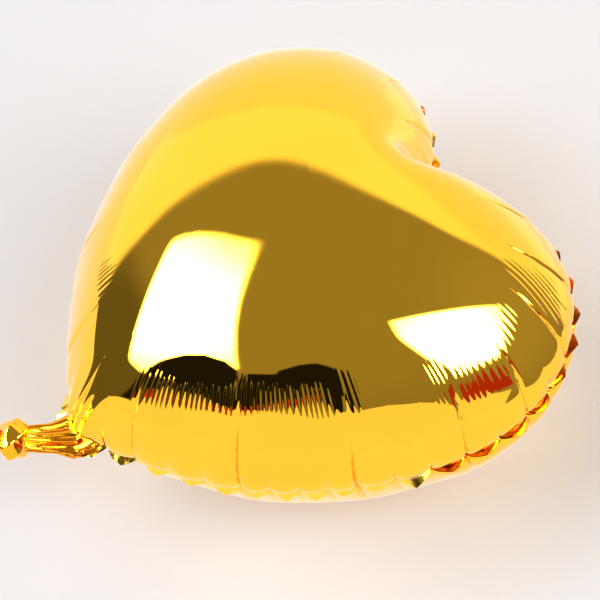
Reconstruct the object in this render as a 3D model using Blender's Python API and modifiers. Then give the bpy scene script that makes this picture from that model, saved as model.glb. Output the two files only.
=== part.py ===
"""Heart-shaped foil balloon, inflated, lying on its back panel with its tail knotted.

Metres, +Z up. The heart lies level: its tip points along -Y, its two lobes along +Y, and it
is symmetric about X = 0 apart from the tail, which leaves the tip upwards and towards -X.
"""

import math

import bmesh
import bpy
import numpy as np
from mathutils import Matrix, Vector

# ---- Heart outline at the weld, inflated; its own origin is on the line between the lobes ----
HALF_WIDTH = 0.195          # centre line to the side of a lobe
LOBE_RX = 0.108             # each lobe is part of an ellipse
LOBE_RY = 0.118
LOBE_END = math.radians(-20.0)   # where the lobe's ellipse hands over to the side curve
TIP_Y = -0.240
TIP_HALF_ANGLE = math.radians(46.0)
SIDE_HANDLE = 0.58          # Bezier handle lengths, as shares of the side's straight length
TIP_HANDLE = 0.15
FLANGE = 0.008              # width of the welded edge outside the air space
FLANGE_TIP_CUT = 0.002      # the flange stops this far past the tip, where the neck starts

# ---- Inflated section ----
HALF_THICKNESS = 0.110      # weld plane to the crown of either panel, before the rest patch
SECTION_POWER = 0.555       # of the torsion function; 0.5 would make an ellipse of a round one
REST_SAG = 0.0006           # how far the back panel is pressed flat by what it rests on
POLE_Y = -0.030             # centre of the panels' rings, near the crown

FILM = 0.0002               # wall of every foil film
VALVE_FILM = 0.0001
GAP = 0.0003                # clearance between films that touch on the real balloon

# ---- Tail: gathered neck, knot and free end, measured along the tail from the tip ----
TAIL_TURN = math.radians(25.0)   # turned from -Y towards -X
TAIL_RISE = math.radians(20.0)
NECK_START = 0.006
NECK_END = 0.042
NECK_HALF_WIDTH = 0.012
NECK_HALF_DEPTH = 0.0038
KNOT_AT = 0.043
KNOT_RING = 0.0080
KNOT_WRAP = 0.0040
KNOT_LENGTHEN = 1.7         # the wrap is longer along the tail than it is deep
TAIL_HINGE = 0.0520
TAIL_END_START = 0.0025     # measured from the tail hinge
TAIL_END_LENGTH = 0.040
TAIL_END_HALF_WIDTH = 0.014
TAIL_END_PLEATS = 3.0
TAIL_END_PLEAT_DEPTH = 0.0014

# ---- Self-sealing valve: two clear films between the panels ----
VALVE_START = 0.006         # inwards from the tip
VALVE_LENGTH = 0.105
VALVE_HALF_WIDTH = 0.014
VALVE_TAPER = 0.55          # half width for each unit of distance from the tip, near the tip
NECK_VALVE_HALF_WIDTH = 0.0026

# ---- Mesh density ----
SEAM_POINTS = 92
RINGS = 11

TAIL_REACH = TAIL_HINGE + TAIL_END_LENGTH
HEART_TOP_Y = LOBE_RY + FLANGE
TAIL_LOW_Y = TIP_Y - TAIL_REACH * math.cos(TAIL_TURN) * math.cos(TAIL_RISE)
TAIL_SPREAD_Y = TAIL_END_HALF_WIDTH * math.sin(TAIL_TURN)
SHIFT_Y = -(HEART_TOP_Y + TAIL_LOW_Y - TAIL_SPREAD_Y) / 2.0
WELD_Z = HALF_THICKNESS - REST_SAG + (GAP + FILM) / 2.0 + FILM / 2.0


def clear_scene():
    for obj in list(bpy.data.objects):
        bpy.data.objects.remove(obj, do_unlink=True)


def new_material(name, color, roughness, metallic, alpha=1.0):
    material = bpy.data.materials.new(name)
    material.use_nodes = True
    shader = material.node_tree.nodes["Principled BSDF"]
    shader.inputs["Base Color"].default_value = (*color, 1.0)
    shader.inputs["Roughness"].default_value = roughness
    shader.inputs["Metallic"].default_value = metallic
    shader.inputs["Alpha"].default_value = alpha
    return material


def gold_foil(name):
    return new_material(name + "_foil", (0.83, 0.55, 0.07), 0.08, 1.0)


def clear_film(name):
    return new_material(name + "_film", (0.92, 0.93, 0.93), 0.15, 0.0, 0.35)


def finish_node(name, bm, collection, material, wall):
    """Turn a bmesh surface into a named node with a wall made by Solidify."""
    bmesh.ops.recalc_face_normals(bm, faces=bm.faces)
    mesh = bpy.data.meshes.new(name)
    bm.to_mesh(mesh)
    bm.free()
    obj = bpy.data.objects.new(name, mesh)
    collection.objects.link(obj)
    mesh.materials.append(material)
    solidify = obj.modifiers.new("Wall", "SOLIDIFY")
    solidify.thickness = wall
    solidify.offset = 0.0
    return obj


# ---- Heart ----

def half_outline(count):
    """Points from the notch round the +X lobe to the tip, evenly spaced along the weld."""
    lobe_x = HALF_WIDTH - LOBE_RX
    notch_angle = math.acos(-lobe_x / LOBE_RX)
    angle = np.linspace(notch_angle, LOBE_END, 80)
    lobe = np.column_stack([lobe_x + LOBE_RX * np.cos(angle), LOBE_RY * np.sin(angle)])
    heading = np.array([LOBE_RX * math.sin(LOBE_END), -LOBE_RY * math.cos(LOBE_END)])
    heading /= np.linalg.norm(heading)
    start = lobe[-1]
    tip = np.array([0.0, TIP_Y])
    reach = np.linalg.norm(tip - start)
    first = start + heading * reach * SIDE_HANDLE
    last = tip + np.array([math.sin(TIP_HALF_ANGLE), math.cos(TIP_HALF_ANGLE)]) * reach * TIP_HANDLE
    t = np.linspace(0.0, 1.0, 100)[1:, None]
    side = (1 - t) ** 3 * start + 3 * (1 - t) ** 2 * t * first
    side = side + 3 * (1 - t) * t ** 2 * last + t ** 3 * tip
    path = np.vstack([lobe, side])
    length = np.r_[0.0, np.cumsum(np.linalg.norm(np.diff(path, axis=0), axis=1))]
    at = np.linspace(0.0, length[-1], count)
    return np.column_stack([np.interp(at, length, path[:, axis]) for axis in (0, 1)])


def heart_outline():
    """The closed weld line: down the +X side from the notch to the tip, and back up the -X side."""
    right = half_outline(SEAM_POINTS // 2 + 1)
    left = right[-2:0:-1] * np.array([-1.0, 1.0])
    return np.vstack([right, left])


def outward_normals(outline):
    along = np.roll(outline, -1, axis=0) - np.roll(outline, 1, axis=0)
    normal = np.column_stack([-along[:, 1], along[:, 0]])
    return normal / np.linalg.norm(normal, axis=1)[:, None]


def torsion_function(points, triangles, rim):
    """The plan's torsion function, 0 on the rim and 1 at its highest.

    It solves laplacian(u) = -1 with linear triangles. About its square root meets the rim
    upright, as an inflated film does.
    """
    corner = points[triangles]
    edge = np.stack([corner[:, 2] - corner[:, 1], corner[:, 0] - corner[:, 2],
                     corner[:, 1] - corner[:, 0]], axis=1)
    area = 0.5 * np.abs(edge[:, 0, 0] * edge[:, 1, 1] - edge[:, 0, 1] * edge[:, 1, 0])
    stiffness = np.zeros((len(points), len(points)))
    load = np.zeros(len(points))
    for i in range(3):
        np.add.at(load, triangles[:, i], area / 3.0)
        for j in range(3):
            coupling = np.sum(edge[:, i] * edge[:, j], axis=1) / (4.0 * area)
            np.add.at(stiffness, (triangles[:, i], triangles[:, j]), coupling)
    inside = np.flatnonzero(~rim)
    height = np.zeros(len(points))
    height[inside] = np.linalg.solve(stiffness[np.ix_(inside, inside)], load[inside])
    return height / height.max()


def inflated_section(share):
    """Height of a film that can't stretch, for the height share of an ellipse at that place."""
    radius = np.linspace(0.0, 1.0, 4001)[:-1]
    slope = radius ** 2 / np.sqrt(1.0 - radius ** 4)
    fall = np.r_[0.0, np.cumsum((slope[1:] + slope[:-1]) / 2.0) * radius[1]]
    whole = 0.59907                 # the integral up to 1, where the slope has its pole
    at = np.sqrt(np.clip(1.0 - share ** 2, 0.0, 1.0))
    return 1.0 - np.interp(at, np.r_[radius, 1.0], np.r_[fall, whole]) / whole


def hemisphere():
    """An open half sphere of unit radius whose rings and segments carry the heart's panel."""
    bm = bmesh.new()
    bmesh.ops.create_uvsphere(bm, u_segments=SEAM_POINTS, v_segments=2 * RINGS, radius=1.0)
    below = [vert for vert in bm.verts if vert.co.z < -1e-6]
    bmesh.ops.delete(bm, geom=below, context="VERTS")
    bm.verts.ensure_lookup_table()
    return bm


def panel(name, side, collection, material):
    """One heart-shaped film: a half sphere moved onto the heart's plan, and its flange ply."""
    outline = heart_outline()
    pole = np.array([0.0, POLE_Y])
    bm = hemisphere()
    unit = np.array([vert.co[:] for vert in bm.verts])
    step = np.arctan2(unit[:, 1], unit[:, 0]) / (2.0 * math.pi) * SEAM_POINTS
    station = np.round(step).astype(int) % SEAM_POINTS
    ring = np.arccos(np.clip(unit[:, 2], -1.0, 1.0)) / (math.pi / 2.0)
    spread = np.sin(ring * math.pi / 2.0)[:, None]
    plan = pole + spread * (outline[station] - pole)
    rim = ring > 0.999
    bm_triangles = bm.copy()
    bmesh.ops.triangulate(bm_triangles, faces=bm_triangles.faces)
    triangles = np.array([[vert.index for vert in face.verts] for face in bm_triangles.faces])
    bm_triangles.free()
    share = torsion_function(plan, triangles, rim) ** SECTION_POWER
    rise = HALF_THICKNESS * inflated_section(share)
    if side < 0:
        rise = np.minimum(rise, HALF_THICKNESS - REST_SAG)
    ply = (GAP + FILM) / 2.0
    for vert, spot, lift in zip(bm.verts, plan, rise):
        vert.co = (spot[0], spot[1] + SHIFT_Y, WELD_Z + side * (lift + ply))
    add_flange(bm, outline, side)
    return finish_node(name, bm, collection, material, FILM)


def add_flange(bm, outline, side):
    """Extrude the panel's rim outwards into the flat ply that is welded to the other film."""
    normal = outward_normals(outline)
    outer = outline + normal * FLANGE
    outer[:, 1] = np.maximum(outer[:, 1], TIP_Y - FLANGE_TIP_CUT)
    rim_edges = [edge for edge in bm.edges if edge.is_boundary]
    made = bmesh.ops.extrude_edge_only(bm, edges=rim_edges)["geom"]
    level = WELD_Z + side * (GAP + FILM) / 2.0
    for vert in (item for item in made if isinstance(item, bmesh.types.BMVert)):
        spot = np.array([vert.co.x, vert.co.y - SHIFT_Y])
        nearest = int(np.argmin(np.linalg.norm(outline - spot, axis=1)))
        vert.co = (outer[nearest, 0], outer[nearest, 1] + SHIFT_Y, level)


# ---- Films laid on a grid ----

def grid_film(name, across, along, shape, collection, material, wall):
    """A film whose grid is moved by shape(u, v): u runs along the film, v across it, 0 to 1."""
    bm = bmesh.new()
    bmesh.ops.create_grid(bm, x_segments=along, y_segments=across, size=0.5)
    for vert in bm.verts:
        vert.co = shape(vert.co.x + 0.5, vert.co.y + 0.5)
    return finish_node(name, bm, collection, material, wall)


def valve_film(side):
    """Clear film inside the heart, at the weld plane, from the tip inwards."""
    def shape(u, v):
        inwards = VALVE_START + u * VALVE_LENGTH
        half = min(VALVE_HALF_WIDTH, inwards * VALVE_TAPER)
        level = WELD_Z + side * (GAP + VALVE_FILM)
        return (2.0 * v - 1.0) * half, TIP_Y + SHIFT_Y + inwards, level
    return shape


def neck_half_width(u):
    """The neck pulls in quickly from the tip and ends inside the knot."""
    inside_knot = KNOT_RING - KNOT_WRAP - GAP - FILM / 2.0
    pull = (1.0 - u) ** 2.2
    return inside_knot + (NECK_HALF_WIDTH - inside_knot) * pull


def neck_film(side):
    """Half of the gathered neck's tube, in the neck's own axes."""
    def shape(u, v):
        angle = math.pi * v
        half = neck_half_width(u)
        depth = min(NECK_HALF_DEPTH, half) * math.sin(angle)
        return NECK_START + u * (NECK_END - NECK_START), half * math.cos(angle), side * (GAP / 2.0 + depth)
    return shape


def neck_valve_film(side):
    """Clear film that runs on through the neck, flat between its two foil films."""
    def shape(u, v):
        out = NECK_START + u * (NECK_END - NECK_START)
        return out, (2.0 * v - 1.0) * NECK_VALVE_HALF_WIDTH, side * (GAP + VALVE_FILM)
    return shape


def tail_end_film(side):
    """Fanned, pleated free end of one foil film, in the tail end's own axes."""
    def shape(u, v):
        narrow = KNOT_RING - KNOT_WRAP
        half = narrow + (TAIL_END_HALF_WIDTH - narrow) * math.sin(u * math.pi / 2.0)
        pleat = math.cos(2.0 * math.pi * TAIL_END_PLEATS * (v - 0.5)) * TAIL_END_PLEAT_DEPTH
        out = TAIL_END_START + u * (TAIL_END_LENGTH - TAIL_END_START)
        return out, (2.0 * v - 1.0) * half, side * (GAP + FILM) + pleat * (1.0 - 0.5 * u)
    return shape


# ---- Tail frame ----

def tail_frame(distance):
    """Axes on the tail: X along it away from the heart, Y across it, Z towards the front."""
    flat = Vector((-math.sin(TAIL_TURN), -math.cos(TAIL_TURN), 0.0))
    along = flat * math.cos(TAIL_RISE) + Vector((0.0, 0.0, math.sin(TAIL_RISE)))
    across = Vector((0.0, 0.0, 1.0)).cross(flat)
    front = along.cross(across)
    frame = Matrix((along, across, front)).transposed().to_4x4()
    frame.translation = Vector((0.0, TIP_Y + SHIFT_Y, WELD_Z)) + along * distance
    return frame


def hinge_empty(name, frame):
    empty = bpy.data.objects.new(name, None)
    bpy.context.scene.collection.objects.link(empty)
    empty.matrix_world = frame
    return empty


def tail_knot(collection):
    """The wrap of gathered foil that closes the neck, round the neck's films."""
    bpy.ops.mesh.primitive_torus_add(
        major_radius=KNOT_RING, minor_radius=KNOT_WRAP, major_segments=20, minor_segments=10,
        rotation=(0.0, math.pi / 2.0, 0.0))
    knot = bpy.context.object
    knot.name = "tail_knot"
    knot.scale = (1.0, 1.0, KNOT_LENGTHEN)
    knot.location = (KNOT_AT, 0.0, 0.0)
    knot.data.materials.append(gold_foil("tail_knot"))
    for owner in list(knot.users_collection):
        owner.objects.unlink(knot)
    collection.objects.link(knot)
    return knot


def build():
    clear_scene()
    parts = bpy.data.collections.new("heart_foil_balloon")
    bpy.context.scene.collection.children.link(parts)

    panel("front_panel", 1, parts, gold_foil("front_panel"))
    panel("back_panel", -1, parts, gold_foil("back_panel"))

    neck_hinge = hinge_empty("neck_hinge", tail_frame(0.0))
    tail_hinge = hinge_empty("tail_hinge", tail_frame(TAIL_HINGE))
    tail_knot(parts).parent = neck_hinge

    for label, side in (("front", 1), ("back", -1)):
        grid_film(f"valve_{label}_film", 4, 14, valve_film(side), parts,
                  clear_film(f"valve_{label}"), VALVE_FILM)
        neck = grid_film(f"neck_{label}_film", 12, 8, neck_film(side), parts,
                         gold_foil(f"neck_{label}"), FILM)
        neck.parent = neck_hinge
        neck_valve = grid_film(f"neck_valve_{label}_film", 2, 4, neck_valve_film(side), parts,
                               clear_film(f"neck_valve_{label}"), VALVE_FILM)
        neck_valve.parent = neck_hinge
        tail_end = grid_film(f"tail_end_{label}_film", 24, 6, tail_end_film(side), parts,
                             gold_foil(f"tail_end_{label}"), FILM)
        tail_end.parent = tail_hinge


build()
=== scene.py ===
"""Looks of the heart-shaped foil balloon: mirror-gold film, gathered seams, tail and knot.

Metres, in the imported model's frame: +Z up, the heart's tip along -Y, its lobes along +Y.
Places along the weld are measured from the notch, round the +X side to the tip, and back up
the -X side; distances from the weld are measured over the film towards the crown.
"""

import math

import bpy
import numpy as np
from mathutils import Matrix, Vector


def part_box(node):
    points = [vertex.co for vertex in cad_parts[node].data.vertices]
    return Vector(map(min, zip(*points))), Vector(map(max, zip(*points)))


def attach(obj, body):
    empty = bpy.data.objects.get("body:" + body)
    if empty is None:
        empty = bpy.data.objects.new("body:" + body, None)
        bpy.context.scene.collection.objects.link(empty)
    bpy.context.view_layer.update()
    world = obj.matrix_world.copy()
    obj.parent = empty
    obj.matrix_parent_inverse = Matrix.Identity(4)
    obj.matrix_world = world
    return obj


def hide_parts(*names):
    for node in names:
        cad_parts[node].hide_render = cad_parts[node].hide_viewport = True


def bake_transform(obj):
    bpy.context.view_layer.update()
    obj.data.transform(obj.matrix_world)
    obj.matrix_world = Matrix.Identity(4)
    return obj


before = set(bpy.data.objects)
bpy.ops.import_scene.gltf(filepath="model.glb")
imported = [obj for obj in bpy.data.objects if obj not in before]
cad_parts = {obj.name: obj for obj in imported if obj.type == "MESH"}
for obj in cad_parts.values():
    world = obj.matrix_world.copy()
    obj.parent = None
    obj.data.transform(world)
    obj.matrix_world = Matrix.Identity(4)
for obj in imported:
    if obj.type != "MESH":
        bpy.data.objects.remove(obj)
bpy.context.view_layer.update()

# ---- The heart's own shape, as the frame has it ----
HALF_WIDTH = 0.195
LOBE_RX = 0.108
LOBE_RY = 0.118
LOBE_END = math.radians(-20.0)
TIP_Y = -0.240
TIP_HALF_ANGLE = math.radians(46.0)
SIDE_HANDLE = 0.58
TIP_HANDLE = 0.15
HALF_THICKNESS = 0.110
SECTION_POWER = 0.555
REST_SAG = 0.0006
POLE = np.array([0.0, -0.030])
PLY = 0.00025                   # half the distance between the two welded films

PANEL_LOW, PANEL_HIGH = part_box("front_panel")
WELD_Z = PANEL_LOW.z - 0.00005  # the front panel's flange lies just above the weld plane
NOTCH_TOP_Y = PANEL_HIGH.y
SHIFT_Y = NOTCH_TOP_Y - LOBE_RY - 0.008

# ---- Tail axes, as the frame has them ----
TAIL_TURN = math.radians(25.0)
TAIL_RISE = math.radians(20.0)
KNOT_AT = 0.043
TAIL_HINGE = 0.052

# ---- Mesh density: stations round the weld, rings from the weld to the crown ----
STATIONS = 2048
RINGS = 62
BACK_STATIONS = 1536
BACK_RINGS = 60
OUTLINE_POINTS = 960            # for the inflated shape's formula
SOURCES = 160
SOURCE_REACH = 0.020
SECTION_FALL = 0.59907          # the whole fall of its section: r*r / sqrt(1 - r**4), summed from 0 to 1
FEWEST_STATIONS = 48
NOTCH_FILL = 2.6                # how soon the film between the lobes rises to a plain dome

HALF_WELD = 0.605               # weld length of one side of the heart

# ---- Gathers of the film at the weld: (place of a long crease, scallops up to the next one) ----
# The near places from 0.154 to 0.550 were measured by tracing view rays to the weld, and the others
# are guessed to be like them.
NEAR_GORES = [(0.000, 2), (0.045, 2), (0.100, 2), (0.154, 2), (0.203, 2), (0.255, 2),
              (0.307, 3), (0.386, 4), (0.468, 3), (0.550, 2)]
FAR_GORES = [(0.605, 2), (0.660, 3), (0.742, 3), (0.824, 3), (0.900, 3), (0.975, 3),
             (1.050, 2), (1.105, 2), (1.160, 2)]
GORE_FLAT = 0.0019              # how far a gore is flattened between its two long creases
GORE_WIDTH = 0.080              # width of a usual gore at the weld
GORE_RISE = 0.045               # height at which a gore is fully flattened
ARCH_MEAN = 0.65
CREASE_REACH = 0.104            # how far up the film a long crease can run
CREASE_FANS = [                 # (from the notch, how far up, how far it leans back by there)
    (0.000, 0.078, 0.000), (0.154, 0.078, 0.000), (0.203, 0.074, 0.010), (0.255, 0.070, 0.020),
    (0.307, 0.074, 0.021), (0.386, 0.090, 0.012), (0.468, 0.087, 0.005), (0.550, 0.078, -0.004),
    (0.605, 0.078, 0.000),
]
CREASE_DEPTH = 0.0021           # the sharp fold along each long crease
CREASE_WIDTH = 0.0012
PINCH_DEPTH = 0.0012            # the short fold at each pinch between two scallops
PINCH_WIDTH = 0.0010
SCALLOP_DEPTH = 0.0034
SCALLOP_REACH = 0.022
SCALLOP_SHARE = 0.34            # a scallop's width as a share of its gore's
LOBE_SCALLOP = 0.6              # scallops on the lobes are this much as deep as beside the tip
TIP_SIDE_FROM = 0.300           # weld place where the stretch beside the tip begins
TIP_SIDE_RAMP = 0.060
GROOVE_DEPTH = 0.0024           # the film swells over the weld on both sides of it
GROOVE_WIDTH = 0.0038
SWELL_REACH = 0.036
FRONT_SWELL = 1.1               # the front film swells further over the weld beside the tip
BACK_SWELL = 1.3
BACK_SWELL_AT = 0.220           # the back film swells over the weld along the lobes' sides only
BACK_SWELL_HALF = 0.110
BACK_TUCK = 0.52                # and stays in under it beside the tip
TUCK_REACH = 0.026
REST_FROM = 0.096               # below this depth the back film smooths out towards its flat patch
REST_RAMP = 0.010

# ---- Fine pleats on the shoulder: (weld place, half length, height, half height, pitch, depth, slant)
PLEAT_PATCHES = [
    (0.509, 0.037, 0.071, 0.014, 0.00500, 0.00050, 0.00),
    (0.547, 0.011, 0.068, 0.015, 0.00480, 0.00018, 0.00),
    (0.424, 0.037, 0.075, 0.015, 0.00460, 0.00060, 0.00),
    (0.370, 0.006, 0.082, 0.012, 0.00440, 0.00026, 0.00),
    (0.301, 0.008, 0.070, 0.013, 0.00430, 0.00018, 0.10),
    (0.270, 0.022, 0.060, 0.013, 0.00500, 0.00020, 0.15),
    (0.224, 0.014, 0.060, 0.016, 0.00480, 0.00017, 0.20),
    (0.176, 0.026, 0.056, 0.024, 0.00500, 0.00032, 0.35),
    (0.125, 0.022, 0.064, 0.020, 0.00540, 0.00009, 0.10),
    (0.030, 0.026, 0.050, 0.024, 0.00520, 0.00009, -0.20),
    (1.172, 0.026, 0.046, 0.020, 0.00500, 0.00024, 0.25),
    (1.130, 0.020, 0.056, 0.018, 0.00520, 0.00009, 0.00),
    (1.010, 0.034, 0.070, 0.018, 0.00520, 0.00009, 0.00),
    (0.862, 0.034, 0.074, 0.018, 0.00540, 0.00009, 0.00),
    (0.783, 0.036, 0.078, 0.018, 0.00510, 0.00012, 0.00),
    (0.701, 0.036, 0.082, 0.018, 0.00500, 0.00015, 0.00),
]
PLEAT_WIDTH = 0.00125           # each pleat is a narrow rounded ridge, with flat film between
PLEAT_MEAN = 0.45

# ---- Welded edge ----
FLANGE_PINCH = 0.0022           # reach of the welded edge at a pinch
FLANGE_TOOTH = 0.0058           # further reach in the middle of a scallop
FLANGE_HANG = 0.0028            # and further still where it hangs down
FLANGE_DROOP = math.radians(62.0)   # the edge hangs down beside the tip, and stands out at the lobes
HANG_FROM = 0.320
HANG_RAMP = 0.045
WING_AT = 0.023                 # a wide fold of the edge beyond the tip, on the far side
WING_HALF = 0.018
WING_REACH = 0.0150
WING_LIFT = 0.0030
FLANGE_FOLD = 0.0007            # height of each tooth's fold
FLANGE_TILT = 0.0008
CREASE_LIFT = 0.0010            # each long crease throws the edge up or down
CREASE_LIFT_REACH = 0.006
CRUMPLE_HALF = 0.040            # the edge is crumpled beside the tip
CRUMPLE_REACH = 0.0050
CRUMPLE_LIFT = 0.0022
FLANGE_PAST_TIP = 0.007
FLANGE_GAP = 0.0002             # each side's edge stays on its own side of the middle
FLANGE_ROWS = 3

WELD_SLOT = 1                   # material slots of the two films
SHADED_EDGE_SLOT = 2
SEAL_SLOT = 3
SEAL_END = 0.050                # the pale outer row of the edge stops this far from the tip
SHADED_EDGE_FROM = 0.085               # the edge is painted dark amber along the lobes' sides, as painted shade and painted dark reflections of the groove where it faces the dark film
SHADED_EDGE_TO = 0.338

# ---- Tip folds ----
TIP_FOLDS = 10.0
TIP_FOLD_DEPTH = 0.0009
TIP_FOLD_REACH = 0.032
TIP_FOLD_RISE = 0.02
TIP_FOLD_BACK = 0.012           # the folds spread from a point this far past the tip


def smooth(x):
    """0 below 0, 1 above 1, and an even curve between."""
    t = np.clip(x, 0.0, 1.0)
    return t * t * (3.0 - 2.0 * t)


# ---- Heart: base shape ----

def half_outline(count):
    """Points from the notch round the +X lobe to the tip, evenly spaced along the weld."""
    lobe_x = HALF_WIDTH - LOBE_RX
    notch_angle = math.acos(-lobe_x / LOBE_RX)
    angle = np.linspace(notch_angle, LOBE_END, 800)
    lobe = np.column_stack([lobe_x + LOBE_RX * np.cos(angle), LOBE_RY * np.sin(angle)])
    heading = np.array([LOBE_RX * math.sin(LOBE_END), -LOBE_RY * math.cos(LOBE_END)])
    heading /= np.linalg.norm(heading)
    start = lobe[-1]
    tip = np.array([0.0, TIP_Y])
    reach = np.linalg.norm(tip - start)
    first = start + heading * reach * SIDE_HANDLE
    last = tip + np.array([math.sin(TIP_HALF_ANGLE), math.cos(TIP_HALF_ANGLE)]) * reach * TIP_HANDLE
    t = np.linspace(0.0, 1.0, 1000)[1:, None]
    side = (1 - t) ** 3 * start + 3 * (1 - t) ** 2 * t * first
    side = side + 3 * (1 - t) * t ** 2 * last + t ** 3 * tip
    path = np.vstack([lobe, side])
    length = np.r_[0.0, np.cumsum(np.linalg.norm(np.diff(path, axis=0), axis=1))]
    at = np.linspace(0.0, length[-1], count)
    return np.column_stack([np.interp(at, length, path[:, axis]) for axis in (0, 1)])


def heart_outline(stations):
    right = half_outline(stations // 2 + 1)
    left = right[-2:0:-1] * np.array([-1.0, 1.0])
    return np.vstack([right, left])


def outward_normals(outline):
    along = np.roll(outline, -1, axis=0) - np.roll(outline, 1, axis=0)
    normal = np.column_stack([-along[:, 1], along[:, 0]])
    return normal / np.linalg.norm(normal, axis=1)[:, None]


def log_distances(points, sources):
    gap = points[:, None, :] - sources[None, :, :]
    return 0.5 * np.log(np.sum(gap * gap, axis=2))


def torsion_solver(outline):
    """The outline's torsion function as a formula: sources outside it cancel it on the line."""
    normal = outward_normals(outline)
    pick = np.arange(0, OUTLINE_POINTS, OUTLINE_POINTS // SOURCES)
    sources = outline[pick] + normal[pick] * SOURCE_REACH
    gap = np.linalg.norm(sources[:, None, :] - outline[None, :, :], axis=2).min(axis=1)
    sources = sources[gap > SOURCE_REACH * 0.9]
    near_notch = outline[0] + np.array([[0.0, 0.010], [0.0, 0.016], [0.0, 0.026]])
    sources = np.vstack([sources, near_notch])
    system = np.column_stack([log_distances(outline, sources), np.ones(len(outline))])
    target = 0.25 * np.sum(outline * outline, axis=1)
    weights = np.linalg.lstsq(system, target, rcond=1e-9)[0]

    def solve(points):
        total = np.zeros(len(points))
        for first in range(0, len(points), 20000):
            part = points[first:first + 20000]
            total[first:first + 20000] = log_distances(part, sources) @ weights[:-1]
        return total + weights[-1] - 0.25 * np.sum(points * points, axis=1)
    return solve


def fullness_solver():
    """Share of the crown's height, as for an ellipse, at any place in the plan.

    The film is taut across the top of the notch, so away from it the height is nearly that of
    a heart whose notch is filled in straight between the lobes.
    """
    heart = heart_outline(OUTLINE_POINTS)
    filled = heart.copy()
    between = (np.abs(heart[:, 0]) < HALF_WIDTH - LOBE_RX) & (heart[:, 1] > 0.0)
    filled[between, 1] = LOBE_RY
    heart_at = torsion_solver(heart)
    filled_at = torsion_solver(filled)

    def solve(points):
        whole = np.maximum(filled_at(points), 1e-9)
        share = np.clip(heart_at(points) / whole, 0.0, 1.0)
        return whole * (1.0 - (1.0 - share) ** NOTCH_FILL)
    return solve


def inflated_section(share):
    """Height of a film that can't stretch, for the height share of an ellipse at that place."""
    radius = np.linspace(0.0, 1.0, 20001)[:-1]
    slope = radius ** 2 / np.sqrt(1.0 - radius ** 4)
    fall = np.r_[0.0, np.cumsum((slope[1:] + slope[:-1]) / 2.0) * radius[1]]
    at = np.sqrt(np.clip(1.0 - share ** 2, 0.0, 1.0))
    return 1.0 - np.interp(at, np.r_[radius, 1.0], np.r_[fall, SECTION_FALL]) / SECTION_FALL


def base_film(stations, rings, side, torsion):
    """Grid of points, ring by ring from the weld to the crown, and the normals and distances."""
    outline = heart_outline(stations)
    ring = np.linspace(1.0, 0.0, rings + 1)[:, None, None]
    plan = POLE + np.sin(ring * math.pi / 2.0) * (outline[None] - POLE)
    u = torsion(plan.reshape(-1, 2)).reshape(plan.shape[:2])
    u[0] = 0.0
    share = (np.clip(u, 0.0, None) / u.max()) ** SECTION_POWER
    rise = HALF_THICKNESS * inflated_section(share)
    if side < 0:
        rise = np.minimum(rise, HALF_THICKNESS - REST_SAG)
    points = np.dstack([plan[..., 0], plan[..., 1], side * rise])
    around = np.roll(points, -1, axis=1) - np.roll(points, 1, axis=1)
    inward = np.gradient(points, axis=0)
    normal = np.cross(around, inward) * side
    length = np.linalg.norm(normal, axis=2)[..., None]
    up = np.array([0.0, 0.0, float(side)])
    normal = np.where(length > 1e-12, normal / np.maximum(length, 1e-12), up)
    normal *= np.where(np.sum(normal * up, axis=2)[..., None] < 0.0, -1.0, 1.0)
    flat = outward_normals(outline)
    normal[0, :, :2] = flat
    normal[0, :, 2] = 0.0
    step = np.linalg.norm(np.diff(points, axis=0), axis=2)
    distance = np.vstack([np.zeros((1, stations)), np.cumsum(step, axis=0)])
    return points, normal, distance, flat


# ---- Heart: gathers ----

def gores():
    listed = NEAR_GORES + FAR_GORES
    place = np.array([place for place, count in listed] + [2.0 * HALF_WELD])
    count = np.array([count for place, count in listed])
    return place, count


def gather_coordinates(along):
    """For places along the weld: gore number, share of the gore, and share of the scallop."""
    place, count = gores()
    along = along % (2.0 * HALF_WELD)
    number = np.clip(np.searchsorted(place, along, side="right") - 1, 0, len(count) - 1)
    width = place[number + 1] - place[number]
    share = (along - place[number]) / width
    scallop = share * count[number]
    return number, width, share, scallop


def past_lobe(from_notch):
    """0 on the lobe and 1 beside the tip."""
    return smooth((from_notch - TIP_SIDE_FROM) / TIP_SIDE_RAMP)


def arch(share):
    """1 in the middle of a gather and 0 at its two creases, where it meets the next at an angle."""
    x = np.abs(2.0 * share - 1.0)
    return 1.0 - x ** 2.2


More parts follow.
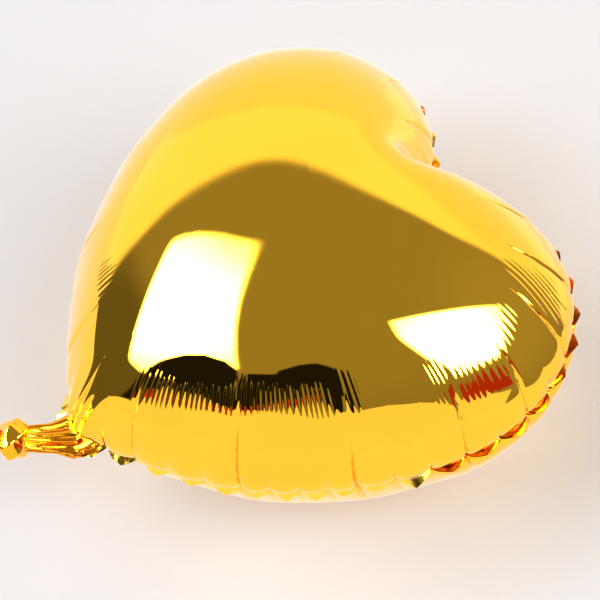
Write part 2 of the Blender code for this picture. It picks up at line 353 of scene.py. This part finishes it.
def gather_relief(along, distance, swell_share):
    """How far the film stands out of the smooth shape because it is gathered at the weld."""
    from_notch = np.minimum(along, 2.0 * HALF_WELD - along)
    at, far_up, leaned = np.array(CREASE_FANS).T
    crease_reach = np.interp(from_notch, at, far_up)
    lean = np.interp(from_notch, at, leaned) * np.sign(HALF_WELD - along)
    lean = lean * smooth(distance / CREASE_REACH)
    number, width, share, scallop = gather_coordinates(along + lean)
    swell = 1.0 + 0.25 * np.sin(number * 2.3)
    fade = 1.0 - smooth(distance / (crease_reach * (1.04 + 0.10 * np.sin(number * 1.7))) - 0.1)
    rise = smooth(distance / GORE_RISE)
    relief = -GORE_FLAT * swell * (width / GORE_WIDTH) * fade * rise * (arch(share) - ARCH_MEAN)
    edge = np.minimum(share, 1.0 - share) * width
    run = np.clip(1.0 - distance / (crease_reach * (1.0 + 0.08 * np.sin(number * 2.6))), 0.0, 1.0)
    fold = np.exp(-edge / CREASE_WIDTH) * np.minimum(1.0, 2.2 * run)
    relief -= CREASE_DEPTH * fold
    groove = np.exp(-distance / GROOVE_WIDTH)
    swollen = swell_share * (1.0 - groove) * np.exp(-(distance / SWELL_REACH) ** 2)
    relief += GROOVE_DEPTH * (swollen - groove)
    reach = SCALLOP_REACH * (1.0 + 0.25 * np.sin(np.floor(scallop) * 1.9 + number))
    pinch = np.exp(-(distance / reach) ** 1.6)
    depth = SCALLOP_DEPTH * (0.8 + 0.2 * np.sin(number * 3.1 + np.floor(scallop) * 2.0))
    depth *= LOBE_SCALLOP + (1.0 - LOBE_SCALLOP) * past_lobe(from_notch)
    part = scallop - np.floor(scallop)
    relief += depth * pinch * (arch(part) - ARCH_MEAN)
    near = np.minimum(part, 1.0 - part) * width * SCALLOP_SHARE
    short_run = np.clip(1.0 - distance / reach, 0.0, 1.0)
    relief -= PINCH_DEPTH * np.exp(-near / PINCH_WIDTH) * short_run
    return relief


def pleat_relief(along, distance):
    """Fine narrow ridges that run up the film, in patches with ragged ends."""
    relief = np.zeros_like(distance)
    for place, half, height, half_height, pitch, depth, slant in PLEAT_PATCHES:
        offset = (along - place + HALF_WELD) % (2.0 * HALF_WELD) - HALF_WELD
        offset = offset + slant * (distance - height)
        wander = 0.0011 * np.sin(offset * 190.0 + place * 40.0)
        rag = 0.12 * np.sin(offset * 2.0 * math.pi / (pitch * 2.7) + place * 91.0)
        window = np.exp(-(offset / half) ** 6 - ((distance - height) / half_height + rag) ** 6)
        turn = (offset + wander) / pitch
        from_ridge = (turn - np.round(turn)) * pitch / PLEAT_WIDTH
        relief += depth * window * (np.exp(-from_ridge ** 2) - PLEAT_MEAN)
    return relief


def tip_relief(points, distance):
    """Folds that fan out over the film from the gathered tip."""
    offset = points[..., :2] - np.array([0.0, TIP_Y])
    reach = np.linalg.norm(points - np.array([0.0, TIP_Y, 0.0]), axis=2)
    angle = np.arctan2(offset[..., 0], offset[..., 1] + TIP_FOLD_BACK)
    fade = (reach / TIP_FOLD_RISE) * np.exp(-(reach / TIP_FOLD_REACH) ** 2)
    wave = np.sin(TIP_FOLDS * angle + 0.9 * np.sin(angle * 4.0)) ** 2
    return TIP_FOLD_DEPTH * fade * (2.0 * wave - 1.0)


def film_points(stations, rings, side, torsion):
    """The gathered film's grid, the outline's outward normals, and each station's weld place."""
    points, normal, distance, flat = base_film(stations, rings, side, torsion)
    along = np.arange(stations) / stations * 2.0 * HALF_WELD
    along = np.broadcast_to(along, distance.shape)
    from_notch = np.minimum(along, 2.0 * HALF_WELD - along)
    lobe_side = np.exp(-((from_notch - BACK_SWELL_AT) / BACK_SWELL_HALF) ** 4)
    beside_tip = past_lobe(from_notch)
    swell_share = 1.0 + FRONT_SWELL * beside_tip if side > 0 else BACK_SWELL * lobe_side
    if side < 0:
        tuck = BACK_TUCK * beside_tip * np.exp(-(distance / TUCK_REACH) ** 2)
        points[..., 2] *= 1.0 - tuck
    relief = gather_relief(along, distance, swell_share) + pleat_relief(along, distance)
    relief += tip_relief(points, distance)
    if side < 0:
        relief *= 1.0 - smooth((-points[..., 2] - REST_FROM) / REST_RAMP)
    points = points + normal * relief[..., None]
    points[..., 2] = np.maximum(points[..., 2], -(HALF_THICKNESS - REST_SAG))
    return points, flat, along[0]


def flange_rows(rim, flat, along):
    """The welded edge, gathered into a row of small folded teeth."""
    number, width, share, scallop = gather_coordinates(along)
    tooth = 1.0 - np.abs(2.0 * (scallop - np.floor(scallop)) - 1.0)
    index = np.floor(scallop) + 5.0 * number
    at_crease = np.exp(-np.minimum(share, 1.0 - share) * width / CREASE_LIFT_REACH)
    from_notch = np.minimum(along, 2.0 * HALF_WELD - along)
    hang = smooth((from_notch - HANG_FROM) / HANG_RAMP)
    full = FLANGE_TOOTH + FLANGE_HANG * hang
    reach = FLANGE_PINCH + full * tooth * (0.85 + 0.15 * np.sin(index * 2.1))
    tilt = FLANGE_TILT * np.sin(index * 2.4)
    lift = FLANGE_FOLD * (2.0 * tooth - 1.0) + tilt + CREASE_LIFT * at_crease * np.sin(number * 2.9)
    to_tip = np.abs(along - HALF_WELD)
    crumple = np.exp(-(to_tip / CRUMPLE_HALF) ** 2) * smooth(to_tip / 0.006)
    reach += CRUMPLE_REACH * crumple * (0.7 + 0.3 * np.sin(along * 420.0))
    lift += crumple * (CRUMPLE_LIFT * np.sin(along * 330.0) + 0.0010 * np.sin(along * 700.0 + 1.0))
    wing = np.exp(-((along - HALF_WELD - WING_AT) / WING_HALF) ** 4)
    reach += WING_REACH * wing
    lift += WING_LIFT * wing
    droop = FLANGE_DROOP * hang * (1.0 - 0.8 * crumple)
    rows = []
    for row in range(1, FLANGE_ROWS + 1):
        out = row / FLANGE_ROWS
        line = rim.copy()
        line[:, :2] += flat * (reach * out * np.cos(droop))[:, None]
        line[:, 2] += lift * out ** 1.3 - reach * out * np.sin(droop)
        kept_right = np.maximum(line[:, 0], FLANGE_GAP)
        kept_left = np.minimum(line[:, 0], -FLANGE_GAP)
        line[:, 0] = np.where(along < HALF_WELD, kept_right, kept_left)
        line[:, 1] = np.maximum(line[:, 1], TIP_Y - FLANGE_PAST_TIP)
        rows.append(line)
    return rows


def row_stations(stations, ring):
    """Stations thin out towards the crown, where the rings are short."""
    count = stations
    while count > FEWEST_STATIONS and ring < 0.5 * count / stations:
        count //= 2
    return count


def join_rows(first, first_count, second, second_count):
    """Faces between two closed rows; the second may have half as many points."""
    faces = []
    if first_count == second_count:
        for i in range(first_count):
            j = (i + 1) % first_count
            faces.append((first + i, first + j, second + j, second + i))
        return faces
    for i in range(second_count):
        j = (i + 1) % second_count
        a, b, c = 2 * i, 2 * i + 1, (2 * i + 2) % first_count
        faces.append((first + a, first + b, second + i))
        faces.append((first + b, second + j, second + i))
        faces.append((first + b, first + c, second + j))
    return faces


def heart_film(name, side, stations, rings, torsion, materials):
    """One film of the heart: the welded edge's rows, then the rings up to the crown."""
    grid, flat, along = film_points(stations, rings, side, torsion)
    lift = np.array([0.0, SHIFT_Y, WELD_Z + side * PLY])
    verts = []
    faces = []
    for row in flange_rows(grid[0], flat, along)[::-1]:
        verts.append(row + lift)
    for row in range(FLANGE_ROWS):
        faces += join_rows(row * stations, stations, (row + 1) * stations, stations)
    start = FLANGE_ROWS * stations
    count = stations
    verts.append(grid[0] + lift)
    for ring in range(1, rings):
        new_count = row_stations(stations, 1.0 - ring / rings)
        if new_count < count // 2:
            new_count = count // 2
        pick = np.arange(0, stations, stations // new_count)
        verts.append(grid[ring, pick] + lift)
        faces += join_rows(start, count, start + count, new_count)
        start += count
        count = new_count
    crown = start + count
    verts.append(grid[rings, :1] + lift)
    faces += [(start + i, start + (i + 1) % count, crown) for i in range(count)]
    if side > 0:
        faces = [face[::-1] for face in faces]
    mesh = bpy.data.meshes.new(name)
    mesh.from_pydata(np.vstack(verts).tolist(), [], faces)
    for material in materials:
        mesh.materials.append(material)
    slots = np.zeros(len(faces), np.int32)
    from_notch = np.minimum(along, 2.0 * HALF_WELD - along)
    # Along the lobes' sides the edge takes the dark amber of painted shade.
    deep = (from_notch > SHADED_EDGE_FROM) & (from_notch < SHADED_EDGE_TO)
    for row in range(FLANGE_ROWS):
        sealed = row == FLANGE_ROWS - 1
        plain = np.where(sealed & (from_notch < HALF_WELD - SEAL_END), SEAL_SLOT, WELD_SLOT)
        slots[row * stations:(row + 1) * stations] = np.where(deep, SHADED_EDGE_SLOT, plain)
    mesh.polygons.foreach_set("material_index", slots)
    return film_object(name, mesh, math.radians(42.0))


def film_object(name, mesh, crease_angle):
    mesh.update()
    mesh.shade_smooth()
    mesh.set_sharp_from_angle(angle=crease_angle)
    obj = bpy.data.objects.new(name, mesh)
    bpy.context.scene.collection.objects.link(obj)
    return obj


# ---- Tail ----

def tail_frame(distance):
    """Axes on the tail: X along it away from the heart, Y across it, Z towards the front."""
    flat = Vector((-math.sin(TAIL_TURN), -math.cos(TAIL_TURN), 0.0))
    along = flat * math.cos(TAIL_RISE) + Vector((0.0, 0.0, math.sin(TAIL_RISE)))
    across = Vector((0.0, 0.0, 1.0)).cross(flat)
    front = along.cross(across)
    axes = Matrix((along, across, front)).transposed().to_4x4()
    axes.translation = Vector((0.0, TIP_Y + SHIFT_Y, WELD_Z)) + along * distance
    return axes


def tail_mesh(name, across, along, shape, closed, material, crease_angle, origin=0.0):
    """A film on the tail: shape(u, v) in the tail's axes, u along it, v across or round it."""
    u, v = np.meshgrid(np.linspace(0.0, 1.0, along + 1), np.linspace(0.0, 1.0, across + 1),
                       indexing="ij")
    if closed:
        u = u[:, :-1]
        v = v[:, :-1]
    local = np.stack(shape(u, v), axis=-1).reshape(-1, 3)
    axes = np.array(tail_frame(origin))
    points = local @ axes[:3, :3].T + axes[:3, 3]
    width = u.shape[1]
    spans = width if closed else width - 1
    faces = []
    for i in range(along):
        for j in range(spans):
            k = (j + 1) % width
            faces.append((i * width + j, i * width + k, (i + 1) * width + k, (i + 1) * width + j))
    mesh = bpy.data.meshes.new(name)
    mesh.from_pydata(points.tolist(), [], faces)
    mesh.materials.append(material)
    return film_object(name, mesh, crease_angle)


NECK_ROOT = -0.030              # the neck starts inside the heart and stops inside the knot
NECK_STOP = 0.044
NECK_HALF = 0.0112              # half its width at the knot, and what it gains towards the heart
NECK_FLARE = 0.0160
NECK_WAIST = 0.0020
NECK_DEPTH = 0.0094
NECK_DEPTH_FLARE = 0.0074
NECK_SHIFT = 0.0045             # its root sits this far to one side
HEART_AXIS = (                  # the heart's own -Y axis, in the tail's axes
    math.cos(TAIL_TURN) * math.cos(TAIL_RISE),
    math.sin(TAIL_TURN),
    -math.cos(TAIL_TURN) * math.sin(TAIL_RISE),
)
KNOT_FACETS = 5
KNOT_HALF_LENGTH = 0.0098
KNOT_END_RADIUS = 0.0064
KNOT_BELLY = 0.0072


def neck_shape(u, v):
    """A rope of gathered film, wide and flat where it leaves the heart, round at the knot."""
    out = NECK_ROOT + u * (NECK_STOP - NECK_ROOT)
    inside = np.minimum(out, 0.0)
    pull = 1.0 - smooth((out + 0.024) / 0.046)
    half = NECK_HALF + NECK_FLARE * pull - NECK_WAIST * smooth((out - 0.020) / 0.02)
    depth = NECK_DEPTH + NECK_DEPTH_FLARE * pull
    angle = 2.0 * math.pi * v
    sway = 0.5 * np.sin(out * 95.0) + 0.3 * np.sin(out * 210.0 + 1.0)
    big = np.abs(np.sin(angle * 3.5 + sway + 0.7 * np.sin(angle * 2.0)))
    small = np.abs(np.sin(angle * 8.0 - 1.4 * sway + 1.1 * np.sin(angle + out * 60.0)))
    crimp = 0.66 + 0.28 * big + 0.10 * small
    across = half * np.cos(angle) * crimp + inside * HEART_AXIS[1] - NECK_SHIFT * pull
    front = depth * np.sin(angle) * crimp + inside * HEART_AXIS[2]
    return np.maximum(out, 0.0) + inside * HEART_AXIS[0], across, front


def knot_shape(u, v):
    """Flat-sided wrap of film: its facets turn slowly round it, and meet at bright folds."""
    angle = 2.0 * math.pi * v
    along = (u - 0.5) * 2.0
    belly = np.sqrt(np.clip(1.0 - np.abs(along) ** 2.6, 0.0, 1.0))
    facet = 2.0 * math.pi / KNOT_FACETS
    turned = (angle + 0.75 * along + 0.25 * np.sin(angle)) % facet - 0.5 * facet
    flat = math.cos(0.5 * facet) / np.cos(turned)
    crease = 0.06 * np.abs(np.sin(angle * 3.0 - along * 2.2))
    radius = KNOT_END_RADIUS + belly * (KNOT_BELLY * flat + 0.0100 * crease)
    out = KNOT_AT + along * KNOT_HALF_LENGTH + 0.0016 * np.sin(angle * 2.0 + 0.6)
    return out, radius * np.cos(angle) * 1.14, radius * np.sin(angle)


def tail_end_shape(side):
    """Free end of one film beyond the knot, fanned out and pleated."""
    def shape(u, v):
        spread = np.sin(np.clip(u * 1.1, 0.0, 1.0) * math.pi / 2.0)
        half = 0.0046 + 0.0094 * spread
        fold = np.abs(((v * 7.0 + 0.35 * np.sin(u * 5.0 + side)) % 2.0) - 1.0) - 0.5
        depth = 0.0042 * (1.0 - 0.45 * u)
        ragged = 0.0025 * np.sin(v * 23.0 + side) * u ** 4
        out = -0.004 + u * 0.043 + ragged
        lift = side * (0.0006 + 0.0028 * u * u) + fold * depth
        curl = 0.0035 * u * u * np.cos(v * 5.0 + side)
        return out, (2.0 * v - 1.0) * half, lift + curl
    return shape


# ---- Materials ----

def new_material(name):
    material = bpy.data.materials.new(name)
    material.use_nodes = True
    return material, material.node_tree, material.node_tree.nodes["Principled BSDF"]


def add_noise(tree, scale, detail=2.0):
    place = tree.nodes.new("ShaderNodeTexCoord")
    noise = tree.nodes.new("ShaderNodeTexNoise")
    noise.inputs["Scale"].default_value = scale
    noise.inputs["Detail"].default_value = detail
    tree.links.new(place.outputs["Object"], noise.inputs["Vector"])
    return noise


def add_range(tree, source, low, high, start=0.3, end=0.7):
    spread = tree.nodes.new("ShaderNodeMapRange")
    spread.inputs["From Min"].default_value = start
    spread.inputs["From Max"].default_value = end
    spread.inputs["To Min"].default_value = low
    spread.inputs["To Max"].default_value = high
    tree.links.new(source, spread.inputs["Value"])
    return spread.outputs["Result"]


def add_mix(tree, factor, first, second):
    mix = tree.nodes.new("ShaderNodeMix")
    mix.data_type = "RGBA"
    mix.inputs[6].default_value = (*first, 1.0)
    mix.inputs[7].default_value = (*second, 1.0)
    tree.links.new(factor, mix.inputs[0])
    return mix.outputs[2]


def add_bump(tree, shader, height, distance, strength=1.0):
    bump = tree.nodes.new("ShaderNodeBump")
    bump.inputs["Distance"].default_value = distance
    bump.inputs["Strength"].default_value = strength
    tree.links.new(height, bump.inputs["Height"])
    tree.links.new(bump.outputs["Normal"], shader.inputs["Normal"])


def foil_material(name, tone, deep, rough_low, rough_high, ripple):
    """Metallised gold film: mirror-bright, with the film's faint drift of tone and haze."""
    material, tree, shader = new_material(name)
    shader.inputs["Metallic"].default_value = 1.0
    drift = add_noise(tree, 14.0, 1.0)
    color = add_mix(tree, add_range(tree, drift.outputs["Fac"], 0.0, 1.0), tone, deep)
    tree.links.new(color, shader.inputs["Base Color"])
    haze = add_noise(tree, 60.0, 3.0)
    rough = add_range(tree, haze.outputs["Fac"], rough_low, rough_high)
    tree.links.new(rough, shader.inputs["Roughness"])
    waver = add_noise(tree, 45.0, 1.0)
    add_bump(tree, shader, waver.outputs["Fac"], ripple)
    return material


def weld_material(name, tone, deep, rough_low, rough_high):
    """The heat-sealed edge: the same film, with the sealing bar's fine cross ribs pressed in."""
    material, tree, shader = new_material(name)
    shader.inputs["Metallic"].default_value = 1.0
    place = tree.nodes.new("ShaderNodeTexCoord")
    ribs = tree.nodes.new("ShaderNodeTexVoronoi")
    ribs.inputs["Scale"].default_value = 1400.0
    tree.links.new(place.outputs["Object"], ribs.inputs["Vector"])
    drift = add_noise(tree, 160.0)
    color = add_mix(tree, add_range(tree, drift.outputs["Fac"], 0.0, 1.0), tone, deep)
    tree.links.new(color, shader.inputs["Base Color"])
    rough = add_range(tree, ribs.outputs["Distance"], rough_low, rough_high, 0.0, 1.0)
    tree.links.new(rough, shader.inputs["Roughness"])
    add_bump(tree, shader, ribs.outputs["Distance"], 0.00004)
    return material


def clear_film_material():
    """Soft clear film of the valve, with a faint drawn grain."""
    material, tree, shader = new_material("clear_valve_film")
    shader.inputs["Base Color"].default_value = (0.93, 0.94, 0.95, 1.0)
    shader.inputs["Alpha"].default_value = 0.35
    shader.inputs["IOR"].default_value = 1.5
    grain = add_noise(tree, 240.0, 2.0)
    rough = add_range(tree, grain.outputs["Fac"], 0.10, 0.26)
    tree.links.new(rough, shader.inputs["Roughness"])
    add_bump(tree, shader, grain.outputs["Fac"], 0.00005)
    return material


# ---- Studio: light comes from pools in the surroundings, given by compass and height ----
# Most corners were traced along rays that the film mirrors. The others were given one by one.

SOFTBOX = 5.0                   # brightness of each thing in the room
SOFTBOX_CORE = 36.0
ROOM_LOW = 0.29
ROOM_HIGH = 0.33
BACKDROP_LEVEL = 1.40
BLACK_LEVEL = 0.013
LOW_BOARD_LEVEL = 1.15
RED_LEVELS = (0.55, 0.42)
ROOM_DISCS = [                  # (azimuth, elevation, radius in degrees, softness, brightness)
    (150, 18, 34, 0.20, 0.40),
    (-30, 8, 34, 0.08, 0.14),
]
BACKDROP_DISCS = [
    (-119, -2, 30, 0.020, 1.20),
    (-160, 5, 21, 0.030, 1.20),
]
CORE_RADIUS = 27
LEFT_BOX = [(-99, 58.5), (-49, 69.5), (0, 60), (17, 46), (-8, 22), (-20, 22), (-73, 43.5)]
LEFT_CORE = (-36, 50)
RIGHT_BOX = [(112, 70), (141, 50), (152, 27), (147, 20), (127, 15), (104, 26), (98, 42), (99, 60)]
RIGHT_CORE = (116, 38)
BACKDROP = [(-56, -30), (-60, 7), (-69, 26), (-90, 42), (-111, 49), (-145, 47), (-170, 36), (174, 8),
            (168, -30)]
BLACK_CARDS = [
    [(-10, -5), (-10, 32), (-6, 42), (0, 47), (10, 48), (17, 45), (20, 40), (20, -5)],
    [(22, -5), (22, 44), (36, 47), (38, -5)],
    [(31, -5), (33, 49), (41, 54), (48, 55), (55, 52), (62, 44), (63, 30), (62, -5)],
]
LOW_BOARD = [(-22, -6), (-14, 2), (-1, 9), (17, 17), (36, 22), (60, 22), (88, 14), (104, 6), (115, -3),
             (45, -40)]
RED_BOARDS = [[(0, 9), (0, 13), (18, 21), (18, 15)], [(90, 13), (100, 22), (118, 12), (120, -3)]]
TABLE_END = 0.42                # the mirrored pale floor stops here, towards +Y
TABLE_SOFT = 0.005
FLOOR_RADIUS = 7.0
ROOM_SHARE = 0.140              # how much of the room's light reaches anything but a mirror
BEHIND_LEVEL = 0.86             # the plain surroundings behind the balloon


def towards(azimuth, elevation):
    """Azimuth 0 is -Y and 90 is +X, in degrees."""
    turn = math.radians(azimuth)
    rise = math.radians(elevation)
    return Vector((math.sin(turn) * math.cos(rise), -math.cos(turn) * math.cos(rise),
                   math.sin(rise)))


def world_studio():
    """The room that the film mirrors, painted layer by layer, each over the ones before."""
    world = bpy.data.worlds.new("studio")
    bpy.context.scene.world = world
    world.use_nodes = True
    tree = world.node_tree
    nodes, links = tree.nodes, tree.links
    nodes.clear()
    place = nodes.new("ShaderNodeTexCoord").outputs["Generated"]

    def edge(normal, soft, offset=0.0):
        """1 on the normal's side of a plane through the middle of the room, 0 on the other."""
        dot = nodes.new("ShaderNodeVectorMath")
        dot.operation = "DOT_PRODUCT"
        links.new(place, dot.inputs[0])
        dot.inputs[1].default_value = normal
        step = nodes.new("ShaderNodeMapRange")
        step.interpolation_type = "SMOOTHSTEP"
        step.inputs["From Min"].default_value = offset - soft
        step.inputs["From Max"].default_value = offset + soft
        links.new(dot.outputs["Value"], step.inputs["Value"])
        return step.outputs["Result"]

    def times(first, second):
        node = nodes.new("ShaderNodeMath")
        node.operation = "MULTIPLY"
        for socket, value in zip(node.inputs, (first, second)):
            if isinstance(value, float):
                socket.default_value = value
            else:
                links.new(value, socket)
        return node.outputs[0]

    def card(corners, soft):
        """A convex card seen in these directions."""
        points = [towards(*corner) for corner in corners]
        middle = sum(points, Vector()) / len(points)
        mask = None
        for first, second in zip(points, points[1:] + points[:1]):
            normal = first.cross(second).normalized()
            if normal.dot(middle) < 0.0:
                normal = -normal
            part = edge(normal, soft)
            mask = part if mask is None else times(mask, part)
        return mask

    def disc(azimuth, elevation, radius, soft):
        return edge(towards(azimuth, elevation), soft, math.cos(math.radians(radius)))

    def over(level, mask, value):
        mix = nodes.new("ShaderNodeMix")
        mix.data_type = "FLOAT"
        links.new(mask, mix.inputs[0])
        if isinstance(level, float):
            mix.inputs[2].default_value = level
        else:
            links.new(level, mix.inputs[2])
        mix.inputs[3].default_value = value
        return mix.outputs[0]

    level = over(ROOM_LOW, edge(Vector((0.0, 0.0, 1.0)), 0.35, 0.45), ROOM_HIGH)
    for azimuth, elevation, radius, soft, brightness in ROOM_DISCS:
        level = over(level, disc(azimuth, elevation, radius, soft), brightness)
    level = over(level, card(BACKDROP, 0.040), BACKDROP_LEVEL)
    for azimuth, elevation, radius, soft, brightness in BACKDROP_DISCS:
        level = over(level, disc(azimuth, elevation, radius, soft), brightness)
    for box, core in ((LEFT_BOX, LEFT_CORE), (RIGHT_BOX, RIGHT_CORE)):
        panel = card(box, 0.026)
        level = over(level, panel, SOFTBOX)
        level = over(level, times(panel, disc(*core, CORE_RADIUS, 0.10)), SOFTBOX_CORE)
    for corners in BLACK_CARDS:
        level = over(level, card(corners, 0.012), BLACK_LEVEL)
    level = over(level, card(LOW_BOARD, 0.006), LOW_BOARD_LEVEL)

    tint = nodes.new("ShaderNodeMix")
    tint.data_type = "RGBA"
    red = card(RED_BOARDS[0], 0.006)
    other = card(RED_BOARDS[1], 0.010)
    level = over(level, red, RED_LEVELS[0])
    level = over(level, other, RED_LEVELS[1])
    both = nodes.new("ShaderNodeMath")
    both.operation = "MAXIMUM"
    links.new(red, both.inputs[0])
    links.new(other, both.inputs[1])
    links.new(both.outputs[0], tint.inputs[0])
    tint.inputs[6].default_value = (1.0, 0.995, 0.99, 1.0)
    tint.inputs[7].default_value = (1.0, 0.10, 0.10, 1.0)

    path = nodes.new("ShaderNodeLightPath")
    share = nodes.new("ShaderNodeMapRange")
    share.inputs["To Min"].default_value = ROOM_SHARE
    links.new(path.outputs["Is Glossy Ray"], share.inputs["Value"])
    level = times(level, share.outputs["Result"])
    level = over(level, path.outputs["Is Camera Ray"], BEHIND_LEVEL)
    background = nodes.new("ShaderNodeBackground")
    links.new(tint.outputs[2], background.inputs["Color"])
    links.new(level, background.inputs["Strength"])
    output = nodes.new("ShaderNodeOutputWorld")
    links.new(background.outputs[0], output.inputs["Surface"])


def floor():
    """A plain pale disc, with a faint glow. The film's mirror sees it only up to the table's end."""
    material, tree, shader = new_material("pale_floor")
    grain = add_noise(tree, 3.0, 2.0)
    color = add_mix(tree, grain.outputs["Fac"], (0.60, 0.59, 0.60), (0.62, 0.61, 0.62))
    tree.links.new(color, shader.inputs["Base Color"])
    shader.inputs["Roughness"].default_value = 0.9
    shader.inputs["Emission Color"].default_value = (1.0, 0.985, 0.985, 1.0)
    path = tree.nodes.new("ShaderNodeLightPath")
    glow = add_range(tree, path.outputs["Is Glossy Ray"], 0.27, 0.55, 0.0, 1.0)
    tree.links.new(glow, shader.inputs["Emission Strength"])
    place = tree.nodes.new("ShaderNodeTexCoord")
    apart = tree.nodes.new("ShaderNodeSeparateXYZ")
    tree.links.new(place.outputs["Object"], apart.inputs[0])
    start, end = TABLE_END - TABLE_SOFT, TABLE_END + TABLE_SOFT
    beyond = add_range(tree, apart.outputs["Y"], 0.0, 1.0, start, end)
    unseen = tree.nodes.new("ShaderNodeMath")
    unseen.operation = "MULTIPLY"
    tree.links.new(beyond, unseen.inputs[0])
    tree.links.new(path.outputs["Is Glossy Ray"], unseen.inputs[1])
    gone = tree.nodes.new("ShaderNodeBsdfTransparent")
    ends = tree.nodes.new("ShaderNodeMixShader")
    tree.links.new(unseen.outputs[0], ends.inputs[0])
    tree.links.new(shader.outputs[0], ends.inputs[1])
    tree.links.new(gone.outputs[0], ends.inputs[2])
    output = tree.nodes["Material Output"]
    tree.links.new(ends.outputs[0], output.inputs["Surface"])
    bpy.ops.mesh.primitive_circle_add(vertices=64, radius=FLOOR_RADIUS, fill_type="NGON")
    obj = bpy.context.object
    obj.name = "pale_floor"
    obj.data.materials.append(material)


# The camera's place, direction, roll and lens come from a least-squares fit of the heart's outline.
CAMERA_PLACE = Vector((0.7625, -0.2641, 1.1893))    # from the heart's own origin
CAMERA_AZIMUTH = 73.96
CAMERA_ELEVATION = 56.61
CAMERA_ROLL = math.radians(-20.0)
CAMERA_LENS = 116.2


def camera():
    ahead = -towards(CAMERA_AZIMUTH, CAMERA_ELEVATION)
    level = ahead.cross(Vector((0.0, 0.0, 1.0))).normalized()
    upright = level.cross(ahead)
    right = level * math.cos(CAMERA_ROLL) + upright * math.sin(CAMERA_ROLL)
    up = upright * math.cos(CAMERA_ROLL) - level * math.sin(CAMERA_ROLL)
    data = bpy.data.cameras.new("camera")
    data.lens = CAMERA_LENS
    data.sensor_width = 36.0
    obj = bpy.data.objects.new("camera", data)
    bpy.context.scene.collection.objects.link(obj)
    matrix = Matrix((right, up, -ahead)).transposed().to_4x4()
    matrix.translation = CAMERA_PLACE + Vector((0.0, SHIFT_Y, WELD_Z))
    obj.matrix_world = matrix
    bpy.context.scene.camera = obj


# ---- Build ----

film_gold = foil_material("gold_film", (1.0, 0.55, 0.038), (1.0, 0.525, 0.033), 0.012, 0.030, 0.00002)
neck_gold = foil_material("gold_neck", (1.0, 0.44, 0.018), (0.92, 0.32, 0.010), 0.13, 0.22, 0.00010)
tail_gold = foil_material("gold_gathered", (1.0, 0.50, 0.026), (0.97, 0.40, 0.014), 0.02, 0.05, 0.00005)
weld_gold = weld_material("gold_weld", (1.0, 0.64, 0.07), (1.0, 0.58, 0.05), 0.16, 0.24)
# The dark amber edge is painted shade: it stands in for the shade and dark reflections of the groove
# along the lobes' sides.
shaded_edge_weld = weld_material("amber_weld_painted_shade", (0.36, 0.060, 0.005), (0.85, 0.22, 0.012), 0.08, 0.16)
pale_seal = weld_material("pale_seal", (1.0, 0.80, 0.46), (1.0, 0.74, 0.36), 0.30, 0.40)
film_skins = [film_gold, weld_gold, shaded_edge_weld, pale_seal]
clear_film = clear_film_material()

torsion_at = fullness_solver()
front = heart_film("front_film", 1, STATIONS, RINGS, torsion_at, film_skins)
back = heart_film("back_film", -1, BACK_STATIONS, BACK_RINGS, torsion_at, film_skins)
for piece, node, slot in ((front, "front_panel", "front_foil"), (back, "back_panel", "back_foil")):
    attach(piece, "heart")
    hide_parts(node)

neck = tail_mesh("gathered_neck", 180, 90, neck_shape, True, neck_gold, math.radians(30.0))
tail_frame(-0.004).translation
tail_frame(0.016).translation
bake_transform(neck)
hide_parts("neck_front_film", "neck_back_film")

knot = tail_mesh("knot_wrap", 70, 30, knot_shape, True, tail_gold, math.radians(25.0))
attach(knot, "neck")
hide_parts("tail_knot")

for label, side in (("front", 1), ("back", -1)):
    end = tail_mesh(f"tail_end_{label}", 112, 40, tail_end_shape(side), False, tail_gold,
                    math.radians(35.0), TAIL_HINGE)
    tail_frame(TAIL_HINGE - 0.004).translation
    tail_frame(TAIL_HINGE + 0.008).translation
    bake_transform(end)
    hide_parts(f"tail_end_{label}_film")

for name in ("valve_front_film", "valve_back_film", "neck_valve_front_film", "neck_valve_back_film"):
    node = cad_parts[name]
    for material_slot in node.material_slots:
        material_slot.material = clear_film

floor()
world_studio()
camera()
view = bpy.context.scene.view_settings
view.view_transform = "Standard"
view.look = "None"
